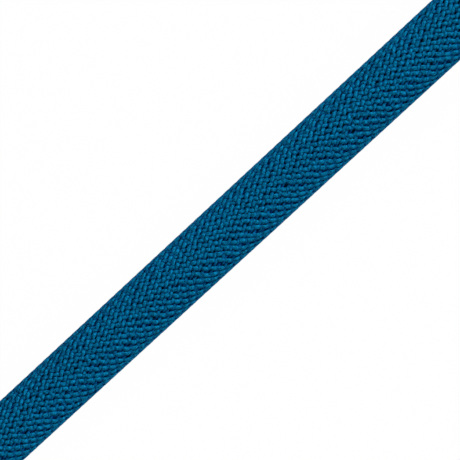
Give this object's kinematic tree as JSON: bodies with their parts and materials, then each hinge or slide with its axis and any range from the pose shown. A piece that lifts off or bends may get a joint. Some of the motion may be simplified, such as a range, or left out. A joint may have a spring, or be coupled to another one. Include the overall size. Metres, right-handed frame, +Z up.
{
  "type": "climbing rope",
  "caption": "Braided dynamic climbing rope: a straight stretch with a fused, sleeved end, the rest wound into a round coil held by straps.",
  "frame": {"origin": "on the ground, under the middle of the whole: the straight run, its tip and the coil together", "axes": "+X along the straight run from its fused tip towards the coil, +Y across, on the side that the run meets the coil, +Z up along the coil's axis"},
  "size_m": [0.3006, 0.1892, 0.1217],
  "materials": {
    "sheath": "braided nylon sheath, deep blue, slight fibre sheen",
    "core": "twisted nylon core strands, undyed white",
    "tape": "thin blank marker tape, plain yellow film",
    "fused_end": "melted and rounded nylon, darker blue",
    "sleeve": "plain black shrunk sleeve, satin",
    "strap": "plain black woven strap"
  },
  "bodies": {
    "root": {"sheath_run": "sheath", "core_strand_01": "core", "core_strand_02": "core", "core_strand_03": "core", "core_strand_04": "core", "core_strand_05": "core", "core_strand_06": "core", "core_strand_07": "core", "core_strand_08": "core", "core_strand_09": "core", "core_strand_10": "core", "core_strand_11": "core", "core_strand_12": "core", "core_strand_13": "core", "core_strand_14": "core", "marker_tape": "tape", "near_tip": "fused_end", "near_sleeve": "sleeve", "rope_lead": "sheath", "rope_coil": "sheath", "rope_tail": "sheath", "far_sleeve": "sleeve", "far_tip": "fused_end", "coil_strap_1": "strap", "coil_strap_2": "strap", "coil_strap_3": "strap", "coil_strap_4": "strap"}
  },
  "joints": []
}
